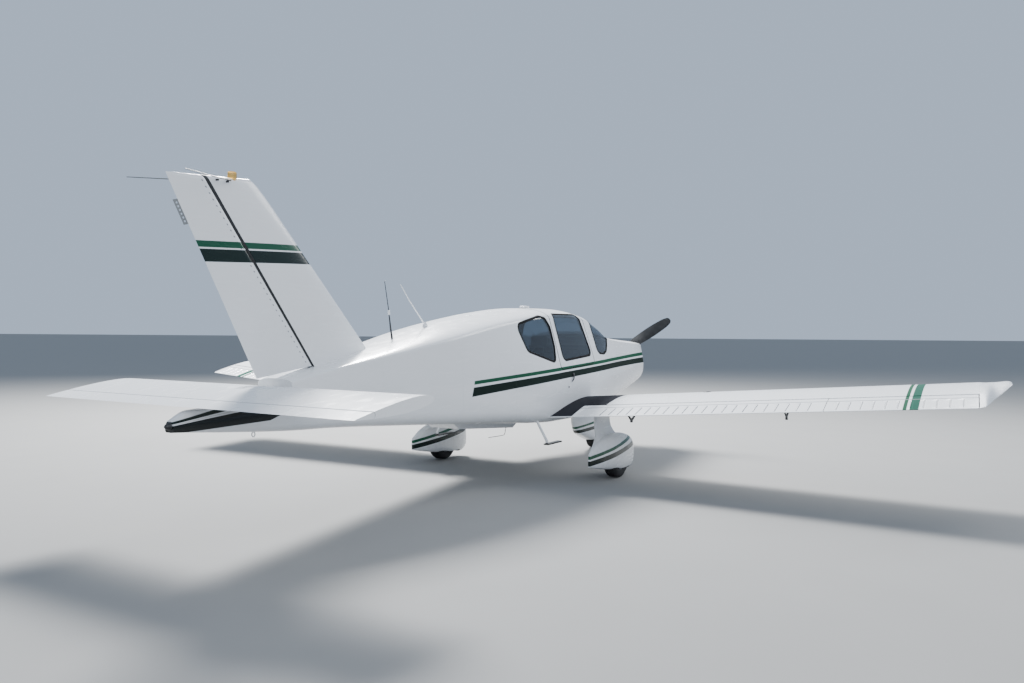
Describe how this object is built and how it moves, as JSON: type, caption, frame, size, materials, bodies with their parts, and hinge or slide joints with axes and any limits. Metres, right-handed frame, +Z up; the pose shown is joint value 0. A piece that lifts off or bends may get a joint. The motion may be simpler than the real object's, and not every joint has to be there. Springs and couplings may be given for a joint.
{
  "type": "light aircraft",
  "caption": "Low-wing light aircraft with a fixed nose-wheel gear, wheel fairings, gull-wing cabin doors, an all-moving tailplane and a propeller.",
  "frame": {"origin": "on the ground under the middle of the overall length, on the centre plane", "axes": "+X forward to the nose, +Y to the left wing, +Z up"},
  "size_m": [7.745, 9.77, 2.742],
  "materials": {
    "painted_metal_skin": "gloss white paint over sheet metal",
    "painted_composite": "gloss white paint over moulded composite",
    "glazing": "tinted clear acrylic",
    "seat_trim": "light trim cloth over foam",
    "panel_black": "matt black",
    "control_grey": "satin dark grey",
    "engine_metal": "plain block that stands for the engine",
    "gear_steel": "satin",
    "blade_metal": "satin dark grey paint",
    "step_paint": "satin dark paint",
    "tyre": "matt",
    "beacon_amber": "clear amber",
    "light_clear": "clear"
  },
  "bodies": {
    "airframe": {"cabin_shell": "painted_metal_skin", "windshield": "glazing", "rear_window_left": "glazing", "rear_window_right": "glazing", "instrument_panel": "panel_black", "yoke_left": "control_grey", "yoke_right": "control_grey", "front_seat_left": "seat_trim", "front_seat_right": "seat_trim", "rear_bench": "seat_trim", "cowl_upper": "painted_composite", "cowl_lower": "painted_composite", "engine_block": "engine_metal", "exhaust_pipe": "gear_steel", "rear_fuselage": "painted_metal_skin", "tail_cone": "painted_composite", "tail_light": "light_clear", "belly_scoop": "painted_composite", "boarding_step_left": "step_paint", "boarding_step_right": "step_paint", "wing_left": "painted_metal_skin", "wing_right": "painted_metal_skin", "wing_tip_left": "painted_composite", "wing_tip_right": "painted_composite", "fin": "painted_metal_skin", "beacon": "beacon_amber", "nose_leg": "gear_steel", "main_leg_left": "gear_steel", "main_leg_right": "gear_steel", "main_spat_left": "painted_composite", "main_spat_right": "painted_composite"},
    "left_door": {"door_left": "painted_composite", "door_window_left": "glazing"},
    "right_door": {"door_right": "painted_composite", "door_window_right": "glazing"},
    "baggage_hatch": {"baggage_door": "painted_metal_skin"},
    "airscrew": {"propeller": "blade_metal", "spinner": "painted_composite"},
    "left_flap": {"flap_left": "painted_metal_skin"},
    "right_flap": {"flap_right": "painted_metal_skin"},
    "left_aileron": {"aileron_left": "painted_metal_skin"},
    "right_aileron": {"aileron_right": "painted_metal_skin"},
    "rudder_body": {"rudder": "painted_metal_skin"},
    "tailplane": {"stabilator": "painted_metal_skin"},
    "tailplane_tab": {"stabilator_tab": "painted_metal_skin"},
    "nose_gear": {"nose_fork": "gear_steel", "nose_spat": "painted_composite"},
    "front_wheel": {"nose_wheel": "tyre"},
    "left_wheel": {"main_wheel_left": "tyre"},
    "right_wheel": {"main_wheel_right": "tyre"}
  },
  "joints": [
    {"name": "propeller_spin", "type": "hinge", "parent": "airframe", "child": "airscrew", "pos_m": [3.6925, 0, 1.275], "axis": [1, 0, 0], "continuous": true},
    {"name": "nose_steer", "type": "hinge", "parent": "airframe", "child": "nose_gear", "pos_m": [2.9125, 0, 0.5], "axis": [0, 0, 1], "range_deg": [-20, 20]},
    {"name": "nose_wheel_spin", "type": "hinge", "parent": "nose_gear", "child": "front_wheel", "pos_m": [2.9125, 0, 0.178], "axis": [0, 1, 0], "continuous": true},
    {"name": "left_wheel_spin", "type": "hinge", "parent": "airframe", "child": "left_wheel", "pos_m": [0.9525, 1.165, 0.22], "axis": [0, 1, 0], "continuous": true},
    {"name": "right_wheel_spin", "type": "hinge", "parent": "airframe", "child": "right_wheel", "pos_m": [0.9525, -1.165, 0.22], "axis": [0, 1, 0], "continuous": true},
    {"name": "left_door_hinge", "type": "hinge", "parent": "airframe", "child": "left_door", "pos_m": [1.1525, 0.067, 1.858], "axis": [1, 0, 0], "range_deg": [0, 80]},
    {"name": "right_door_hinge", "type": "hinge", "parent": "airframe", "child": "right_door", "pos_m": [1.1525, -0.067, 1.858], "axis": [-1, 0, 0], "range_deg": [0, 80]},
    {"name": "baggage_hinge", "type": "hinge", "parent": "airframe", "child": "baggage_hatch", "pos_m": [-0.3875, 0.50733, 1.441], "axis": [0.9977, 0.0685, 0], "range_deg": [0, 75]},
    {"name": "left_flap_hinge", "type": "hinge", "parent": "airframe", "child": "left_flap", "pos_m": [0.7025, 2.15983, 0.70903], "axis": [0, -0.9969, -0.0785], "range_deg": [0, 25]},
    {"name": "right_flap_hinge", "type": "hinge", "parent": "airframe", "child": "right_flap", "pos_m": [0.7025, -2.15983, 0.70903], "axis": [0, -0.9969, 0.0785], "range_deg": [0, 25]},
    {"name": "left_aileron_hinge", "type": "hinge", "parent": "airframe", "child": "left_aileron", "pos_m": [0.7025, 4.01979, 0.97377], "axis": [0, 0.9969, 0.0785], "range_deg": [-17, 17]},
    {"name": "right_aileron_hinge", "type": "hinge", "parent": "airframe", "child": "right_aileron", "pos_m": [0.7025, -4.01979, 0.97377], "axis": [0, -0.9969, 0.0785], "range_deg": [-17, 17]},
    {"name": "rudder_hinge", "type": "hinge", "parent": "airframe", "child": "rudder_body", "pos_m": [-2.54771, 0, 1.27495], "axis": [-0.6053, 0, 0.796], "range_deg": [-25, 25]},
    {"name": "stabilator_hinge", "type": "hinge", "parent": "airframe", "child": "tailplane", "pos_m": [-3.1975, 0, 1.12628], "axis": [0, 1, 0], "range_deg": [-1, 18]},
    {"name": "stabilator_tab_hinge", "type": "hinge", "parent": "tailplane", "child": "tailplane_tab", "pos_m": [-3.5995, 0, 1.08686], "axis": [0, 1, 0], "range_deg": [-0.8, 14.4]}
  ],
  "couplings": [
    {"joint": "right_flap_hinge", "follows": "left_flap_hinge", "ratio": 1},
    {"joint": "right_aileron_hinge", "follows": "left_aileron_hinge", "ratio": 1},
    {"joint": "stabilator_tab_hinge", "follows": "stabilator_hinge", "ratio": 0.8}
  ]
}
